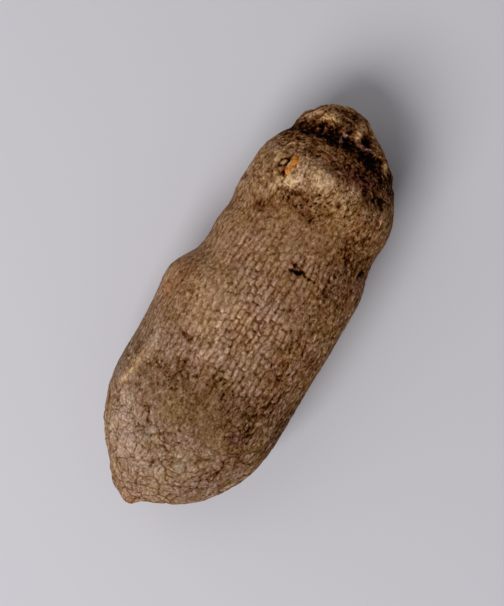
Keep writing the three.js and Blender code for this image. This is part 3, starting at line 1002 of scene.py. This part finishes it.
# ---------------------------------------------------------------------------------------------
# The whole bark. Each kind changes into the next over a ragged strip, whose two edges are given
# here in mm. The groove before the crown is sunk, browned and filled with black earth.
# ---------------------------------------------------------------------------------------------
TAIL_PLATES_X = (-66.0, -88.0)
CRUMBS_TO_TAIL_X = (-38.0, -58.0)
CRUMBS_TO_HEAD_X = (30.0, 58.0)
CRUMBS_STRENGTH = 0.85
CRUMBS_RIGHT_Y = (-20.0, -40.0)
CRUMBS_RIGHT_STRENGTH = 0.85
CRUMBS_LEFT_Y = (28.0, 46.0)
CRUMBS_LEFT_STRENGTH = 0.7
HEAD_FOLDS_X = (56.0, 72.0)
CROWN_EDGE = (-1.0, 1.5)
CROWN_WAVE, CROWN_WANDER = 6, 1.5
BORDER_WAVE, BORDER_WANDER = 20, 8.0
GROOVE_FALL = 0.09
GROOVE_DEPTH = 0.8
SWELL_SIZE = 30
SWELL_RISE = 0.6
GRAIN_RISE = 0.1
# Dark grime lies on the right flank, more of it towards the head.
GRIMY_Y = (-20.0, -36.0)
GRIMIER_X = (40.0, 70.0, 1.0, 1.8)
GRIME_STRETCH = (1.8, 0.8)
GRIME_SIZE = 3.4
GRIME_DARKER = 0.14
# Brown and black earth lie along the groove, from so far before it to so far past it, in mm.
BROWN_BEGINS = (-18.0, -6.0)
BROWN_ENDS = (4.0, -2.0)
BLACK_BEGINS = (-9.5, -2.5)
BLACK_ENDS = (1.0, 0.0)
EARTH_PAST_GROOVE = 5.0
FARTHER_ON_LEFT = 3.0
FARTHER_ON_LEFT_Y = (2.0, 10.0)
DARK_GRAIN_SIZE = 2.6
PALE_GRAIN_SIZE = 2.0
BARE_SPOT_SIZE = 3.6
BARE_SPOT_STRENGTH = 0.7
EARTH_WAVE, EARTH_WANDER = 8, 3.0
EARTH_FINE_WAVE, EARTH_FINE_WANDER = 3, 3.4
BROWN_DARKER = 0.10
BROWN_GRAINS_DARKER = 0.20
BROWN_GRAINS_LIGHTER = 0.18
BLACK_DARKER = 0.36
# The grain is coarser on the head and low on the flanks, and finer on the tail.
COARSER_HEAD_X = (50.0, 90.0, 1.0, 1.4)
COARSER_FLANKS = (18.0, 38.0, 1.0, 1.2)
COARSEST_X = (60.0, 85.0)
COARSEST_Y = (-12.0, -28.0)
COARSEST_BY = 0.2
FINER_TAIL_X = (-50.0, -68.0, 1.0, 0.8)


def whole_bark(place):
    """The crack depth, the rise in mm, how much lighter each point is, and its fine roughness."""
    x, y, _ = xyz(place)
    ragged_x = x + ripple(place, BORDER_WAVE, seed=41) * BORDER_WANDER
    past = past_groove(place)
    tail = ramp(ragged_x, *TAIL_PLATES_X)
    crumbled = ramp(ragged_x, *CRUMBS_TO_TAIL_X) + ramp(ragged_x, *CRUMBS_TO_HEAD_X)
    crumbled = larger(crumbled, ramp(y, *CRUMBS_RIGHT_Y) * CRUMBS_RIGHT_STRENGTH)
    crumbled = larger(crumbled, ramp(y, *CRUMBS_LEFT_Y) * CRUMBS_LEFT_STRENGTH)
    head = ramp(ragged_x, *HEAD_FOLDS_X)
    crown = ramp(past + ripple(place, CROWN_WAVE, seed=42) * CROWN_WANDER, *CROWN_EDGE)
    depth, rise, lighter = middle_blocks(place)
    for share, (other_depth, other_rise, other_lighter) in (
        (crumbled * CRUMBS_STRENGTH, crumbled_bark(place)), (tail, tail_plates(place)),
        (head, head_folds(place)), (crown, crown_cork(place)),
    ):
        depth = between(depth, other_depth, share)
        rise = between(rise, other_rise, share)
        lighter = between(lighter, other_lighter, share)
    grimy = flecks(stretched(place, *GRIME_STRETCH), GRIME_SIZE, seed=45, low=-0.1, high=0.6)
    grimy = grimy * ramp(y, *GRIMY_Y) * ramp(x, *GRIMIER_X)
    in_groove = reckon("EXPONENT", past * past * -GROOVE_FALL)
    near_edge = ripple(place, EARTH_WAVE, seed=46) * EARTH_WANDER
    near_edge = near_edge + ripple(place, EARTH_FINE_WAVE, seed=47, detail=3.0) * EARTH_FINE_WANDER
    far_edge = ripple(place, EARTH_WAVE, seed=48) * EARTH_WANDER
    far_edge = far_edge + ripple(place, EARTH_FINE_WAVE, seed=49, detail=3.0) * EARTH_FINE_WANDER
    far = ramp(y, *FARTHER_ON_LEFT_Y) * FARTHER_ON_LEFT + EARTH_PAST_GROOVE
    browned = ramp(past + near_edge, *BROWN_BEGINS)
    browned = browned * ramp(past + far_edge, far + BROWN_ENDS[0], far + BROWN_ENDS[1])
    blackened = ramp(past + near_edge, *BLACK_BEGINS)
    blackened = blackened * ramp(past + far_edge, far + BLACK_ENDS[0], BLACK_ENDS[1])
    dark_grains = flecks(place, DARK_GRAIN_SIZE, seed=53, low=-0.1, high=0.5)
    pale_grains = flecks(place, PALE_GRAIN_SIZE, seed=54, low=0.1, high=0.7)
    bare_spots = flecks(place, BARE_SPOT_SIZE, seed=50, low=-0.1, high=0.6)
    less_black = 1 - bare_spots * BARE_SPOT_STRENGTH
    lighter = lighter - grimy * GRIME_DARKER - browned * BROWN_DARKER
    lighter = lighter - browned * dark_grains * BROWN_GRAINS_DARKER
    lighter = lighter + browned * pale_grains * BROWN_GRAINS_LIGHTER - blackened * less_black * BLACK_DARKER
    rise = rise - in_groove * GROOVE_DEPTH + ripple(place, SWELL_SIZE, seed=43, detail=3.0) * SWELL_RISE
    grain_lighter, grain_higher = cork_grain(place)
    on_head = ramp(x, *COARSER_HEAD_X)
    on_flanks = ramp(reckon("ABSOLUTE", y - MIDDLE_Y), *COARSER_FLANKS)
    coarser = larger(on_head, on_flanks) + ramp(x, *COARSEST_X) * ramp(y, *COARSEST_Y) * COARSEST_BY
    coarser = coarser * ramp(x, *FINER_TAIL_X)
    return depth, rise + grain_higher * GRAIN_RISE, lighter + grain_lighter * coarser, grain_higher


# The relief fades out near the belly, which stays flat on the table.
FLAT_BELOW_Z = 0.5
FULL_ABOVE_Z = 9.0
MARKS_STIR = (3.0, 0.6)

relief = bpy.data.node_groups.new("bark_relief", "GeometryNodeTree")
relief.interface.new_socket("Geometry", in_out="INPUT", socket_type="NodeSocketGeometry")
relief.interface.new_socket("Geometry", in_out="OUTPUT", socket_type="NodeSocketGeometry")
grown_in = relief.nodes.new("NodeGroupInput")
grown_out = relief.nodes.new("NodeGroupOutput")
lift = relief.nodes.new("GeometryNodeSetPosition")
place = add_node(relief, "GeometryNodeInputNamedAttribute", {"Name": "smooth_place"},
                 data_type="FLOAT_VECTOR")
outward = add_node(relief, "GeometryNodeInputNormal", {})
clear_of_table = ramp(xyz(place)[2], FLAT_BELOW_Z, FULL_ABOVE_Z)
rise = whole_bark(place)[1]
marked_lighter, marked_higher = all_marks(stirred(place, *MARKS_STIR, seed=44))
rise_in_metres = (rise + marked_higher) * clear_of_table / MM
offset = add_node(relief, "ShaderNodeVectorMath", {0: outward, "Scale": rise_in_metres}, operation="SCALE")
relief.links.new(offset.socket, lift.inputs["Offset"])
relief.links.new(grown_in.outputs[0], lift.inputs["Geometry"])
# How much lighter the marks make each point is kept on the skin, for its colours to use.
noted = relief.nodes.new("GeometryNodeStoreNamedAttribute")
noted.data_type = "FLOAT"
noted.domain = "POINT"
noted.inputs["Name"].default_value = "mark_light"
relief.links.new(marked_lighter.socket, noted.inputs["Value"])
relief.links.new(lift.outputs["Geometry"], noted.inputs["Geometry"])
relief.links.new(noted.outputs["Geometry"], grown_out.inputs[0])
lifting = skin.modifiers.new("bark_relief", "NODES")
lifting.node_group = relief
apply_changes(skin)

# The fine even mesh is thinned where the bark is plain, and stays fine along its cracks.
MOST_TRIANGLES = 192000

skin.data.calc_loop_triangles()
fewer = skin.modifiers.new("fewer", "DECIMATE")
fewer.ratio = MOST_TRIANGLES / len(skin.data.loop_triangles)
apply_changes(skin)


# ---------------------------------------------------------------------------------------------
# The colours of the bark. How light each point is picks its colour from a row of tones, from
# nearly black through dark umber and brown to pale cork. Stains of other hues lie over that.
# ---------------------------------------------------------------------------------------------
BARK_TONES = [
    (0.00, (6, 2, 1)),
    (0.14, (30, 9, 1)),
    (0.22, (64, 30, 7)),
    (0.33, (90, 53, 22)),
    (0.44, (110, 73, 43)),
    (0.56, (129, 93, 64)),
    (0.67, (148, 113, 87)),
    (0.78, (167, 132, 106)),
    (0.89, (187, 153, 126)),
    (1.00, (212, 181, 152)),
]
# How light the bark is between its cracks, from tail to crown: a place along it in mm, and how
# light it is there.
LIGHT_ALONG = [
    (-141, 0.70), (-120, 0.74), (-90, 0.71), (-60, 0.60), (-46, 0.60), (-35, 0.64), (-8, 0.72), (2, 0.73),
    (16, 0.69), (40, 0.67), (60, 0.655), (85, 0.68), (105, 0.68), (118, 0.68), (128, 0.74),
]
HALF_LENGTH = 141.0
LIGHT_WAVE, LIGHT_WANDER = 18, 6.0


def along_ramp(share, stops, easing):
    """The tone that a row of stops gives for each share, 0 to 1."""
    made = share.tree.nodes.new("ShaderNodeValToRGB")
    made.color_ramp.interpolation = easing
    points = made.color_ramp.elements
    for number, (at, tone) in enumerate(stops):
        point = points[number] if number < 2 else points.new(at)
        point.position = at
        point.color = tone
    share.tree.links.new(share.socket, made.inputs[0])
    return Field(share.tree, made.outputs[0])


def paint_over(colour, other, share, how):
    """A colour with a share of another laid over it, as a blend mode does it."""
    tree = share.tree if isinstance(share, Field) else colour.tree
    return add_node(tree, "ShaderNodeMix", {0: share, 6: colour, 7: other}, output=2,
                    data_type="RGBA", blend_type=how)


@in_a_group
def with_stain(colour, place, ragged, middle, size, turn, tone, strength):
    """The skin's colour with one more stain, which changes its hue and leaves its lightness."""
    return [paint_over(colour, tone, inside_mark(place, ragged, middle, size, turn) * strength, "COLOR")]


# Each stain's middle, half length and half width in mm, its turn in degrees, its colour from 0 to
# 255, and how strong it is.
STAINS = {
    "tip_orange": (-137.5, 7.0, 4.0, 3.4, 0, (154, 104, 64), 0.45),
    "tail_yellow": (-71.5, 11.0, 7.0, 10.0, 0, (118, 92, 54), 0.5),
    "tail_grey": (-92.0, 16.0, 5.0, 3.0, 20, (124, 108, 88), 0.5),
    "tail_grey_2": (-100.0, -11.5, 6.0, 4.0, 0, (122, 106, 88), 0.45),
    "tail_cream": (-122.0, -2.5, 5.5, 4.0, -40, (152, 118, 74), 0.5),
    "tail_pink": (-97.0, 26.0, 9.0, 4.0, 30, (132, 106, 90), 0.25),
    "tail_tan": (-110.0, 24.0, 10.0, 7.0, 45, (143, 113, 86), 0.55),
    "tail_rim": (-113.0, 33.0, 16.0, 5.0, 40, (152, 112, 74), 0.45),
    "tail_rim_2": (-86.0, 46.0, 14.0, 5.0, 10, (152, 112, 74), 0.45),
    "ridge_tan": (-60.0, 42.5, 26.0, 3.2, -13, (150, 112, 72), 0.55),
    "ridge_orange": (-74.0, 43.5, 2.6, 1.8, 0, (150, 100, 56), 0.6),
    "left_orange": (-10.5, 50.0, 5.0, 3.0, 0, (130, 84, 44), 0.5),
    "left_russet": (2.0, 46.0, 22.0, 8.0, 0, (112, 70, 44), 0.35),
    "pale_yellow": (-14.0, 14.0, 15.0, 9.0, 0, (160, 126, 88), 0.35),
    "flank_purple": (30.0, -38.0, 20.0, 6.0, 0, (84, 58, 44), 0.25),
    "bruise": (-68.0, -31.5, 5.0, 6.0, 30, (76, 48, 42), 0.5),
    "root_scar_red": (37.0, -7.5, 2.4, 1.2, 20, (132, 70, 52), 0.6),
    "root_scar_ochre": (27.0, -10.0, 3.4, 2.0, 0, (112, 82, 40), 0.6),
    "flakes_cream": (71.5, 24.0, 6.5, 2.0, -8, (178, 146, 100), 0.6),
    "flakes_cream_2": (78.0, 16.0, 5.0, 2.4, -58, (202, 168, 122), 0.75),
    "wound_orange": (89.6, 21.0, 5.2, 3.2, 12, (214, 128, 36), 0.9),
    "wound_orange_2": (82.6, 21.8, 4.6, 2.8, -16, (206, 116, 36), 0.85),
    "wound_yellow": (86.0, 22.4, 2.4, 1.4, 0, (196, 150, 84), 0.7),
    "wound_core": (86.5, 26.6, 1.6, 1.1, -20, (134, 104, 80), 0.5),
    "groove_orange": (101.0, 4.5, 4.0, 3.0, 0, (124, 72, 36), 0.7),
    "groove_maroon": (100.0, -17.0, 6.0, 12.0, 10, (84, 38, 30), 0.55),
    "crown_pink": (118.0, 3.0, 4.6, 2.0, 0, (150, 114, 104), 0.7),
    "crown_strip": (119.4, -12.0, 7.0, 1.4, 94, (140, 96, 90), 0.7),
    "crown_maroon": (116.0, 14.0, 4.0, 8.0, 0, (64, 34, 28), 0.5),
}
# The bark is more russet low on the right, greyer towards the tail, yellower on the left side and
# the head, and browner at the crown.
RUSSET_LEAN = (1.0, 0.92, 0.80, 1.0)
RUSSET_Y = (-18.0, -45.0)
GREY_LEAN = (0.93, 1.05, 1.22, 1.0)
GREY_X = (-5.0, -62.0)
LESS_GREY_X = (-116.0, -134.0, 1.0, 0.5)
YELLOW_LEAN = (1.01, 0.985, 0.84, 1.0)
YELLOW_HEAD_X = (44.0, 66.0)
YELLOW_LEFT_Y = (14.0, 34.0)
YELLOW_LEFT_X = (-30.0, 0.0)
BROWN_LEAN = (1.08, 0.94, 0.78, 1.0)
BROWN_X = (94.0, 108.0)
LEAN_STRENGTH = 0.8
# How far in mm the borders between the hues wander with the broad patches.
SIDE_WANDER = 8.0
LONG_WANDER = 14.0
CROWN_HUE_WANDER = 6.0

STAIN_RAGGED_SIZE, STAIN_RAGGED_BY = 2.0, 0.8
# Slow changes of hue, which turn the bark a little redder here and yellower there.
RED_DRIFT = 0.055
YELLOW_DRIFT = 0.30
RED_DRIFT_SIZE = 8
YELLOW_DRIFT_SIZE = 16
DRIFT_MIDDLE = 0.98
MORE_DRIFT_Y = (-14.0, -34.0, 1.0, 1.7)
# The flanks differ a little in how light they are, and so do broad patches all over.
RIGHT_SIDE_Y = (-8.0, -28.0)
RIGHT_DARKER = 0.05
LOW_RIGHT_Y = (-28.0, -48.0)
LOW_RIGHT_LIGHTER_X = (50.0, 70.0, 0.09, 0.03)
LEFT_Y = (20.0, 48.0)
LEFT_LIGHTER = 0.07
PATCH_SIZE = 17
PATCH_LIGHTER = 0.05
BARK_ROUGHNESS = 0.8
ROUGHER_IN_CRACKS = 0.12
SMOOTHER_ON_GRAINS = 0.05
BARK_SHINE = 0.03
FINEST_RELIEF = 0.0006
FINEST_STRENGTH = 0.7
GRAIN_SHARE = 0.4
CRACK_SHARE = 0.5

bark = bpy.data.materials.new("yam_bark")
bark.use_nodes = True
tree = bark.node_tree
shader = tree.nodes["Principled BSDF"]
place = add_node(tree, "ShaderNodeAttribute", {}, output="Vector", attribute_name="smooth_place")
depth, _, lighter, roughness = whole_bark(place)
marked = add_node(tree, "ShaderNodeAttribute", {}, output="Fac", attribute_name="mark_light")
x, y, _ = xyz(place)
share_along = (x + ripple(place, LIGHT_WAVE, seed=51) * LIGHT_WANDER) / (2 * HALF_LENGTH) + 0.5
light_stops = [((at / HALF_LENGTH + 1) / 2, (light, light, light, 1.0)) for at, light in LIGHT_ALONG]
light = add_node(tree, "ShaderNodeSeparateXYZ", {0: along_ramp(share_along, light_stops, "EASE")})
light = light - ramp(y, *RIGHT_SIDE_Y) * RIGHT_DARKER
light = light + ramp(y, *LOW_RIGHT_Y) * ramp(x, *LOW_RIGHT_LIGHTER_X)
light = light + ramp(y, *LEFT_Y) * LEFT_LIGHTER
patches = ripple(place, PATCH_SIZE, seed=52, detail=2.0)
light = light + lighter + marked + patches * PATCH_LIGHTER
stops = [(at, sunlit(*tone)) for at, tone in BARK_TONES]
colour = along_ramp(light, stops, "LINEAR")
russet = ramp(y + patches * SIDE_WANDER, *RUSSET_Y) * LEAN_STRENGTH
colour = paint_over(colour, RUSSET_LEAN, russet, "MULTIPLY")
greyed = ramp(x + patches * LONG_WANDER, *GREY_X) * ramp(x, *LESS_GREY_X)
colour = paint_over(colour, GREY_LEAN, greyed, "MULTIPLY")
left_yellow = ramp(y + patches * SIDE_WANDER, *YELLOW_LEFT_Y) * ramp(x, *YELLOW_LEFT_X)
yellowed = larger(ramp(x + patches * LONG_WANDER, *YELLOW_HEAD_X), left_yellow) * LEAN_STRENGTH
colour = paint_over(colour, YELLOW_LEAN, yellowed, "MULTIPLY")
colour = paint_over(colour, BROWN_LEAN, ramp(x + patches * CROWN_HUE_WANDER, *BROWN_X), "MULTIPLY")
varied = ramp(y, *MORE_DRIFT_Y)
warm = ripple(place, YELLOW_DRIFT_SIZE, seed=56, detail=3.0, roughness=0.65) * varied
red = ripple(place, RED_DRIFT_SIZE, seed=57, detail=3.0, roughness=0.6) * varied
hue_drift = triple(red * RED_DRIFT + 1, 1 - red * RED_DRIFT, DRIFT_MIDDLE - warm * YELLOW_DRIFT)
colour = paint_over(colour, hue_drift, 1.0, "MULTIPLY")
stain_ragged = ripple(place, STAIN_RAGGED_SIZE, seed=58, detail=3.0, roughness=0.6) * STAIN_RAGGED_BY
for at_x, at_y, half_length, half_width, turn, tone, strength in STAINS.values():
    middle, size, angle = laid_on(at_x, at_y, half_length, half_width, turn)
    colour, = with_stain(colour, place, stain_ragged, middle, size, angle, sunlit(*tone), strength)
tree.links.new(colour.socket, shader.inputs["Base Color"])
matte = depth * ROUGHER_IN_CRACKS - roughness * SMOOTHER_ON_GRAINS + BARK_ROUGHNESS
tree.links.new(matte.socket, shader.inputs["Roughness"])
shader.inputs["Specular IOR Level"].default_value = BARK_SHINE
bump = tree.nodes.new("ShaderNodeBump")
bump.inputs["Distance"].default_value = FINEST_RELIEF
bump.inputs["Strength"].default_value = FINEST_STRENGTH
finest = roughness * GRAIN_SHARE - depth * CRACK_SHARE
tree.links.new(finest.socket, bump.inputs["Height"])
tree.links.new(bump.outputs["Normal"], shader.inputs["Normal"])
skin.data.materials.clear()
skin.data.materials.append(bark)
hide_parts("tuber")
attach(skin, "root")
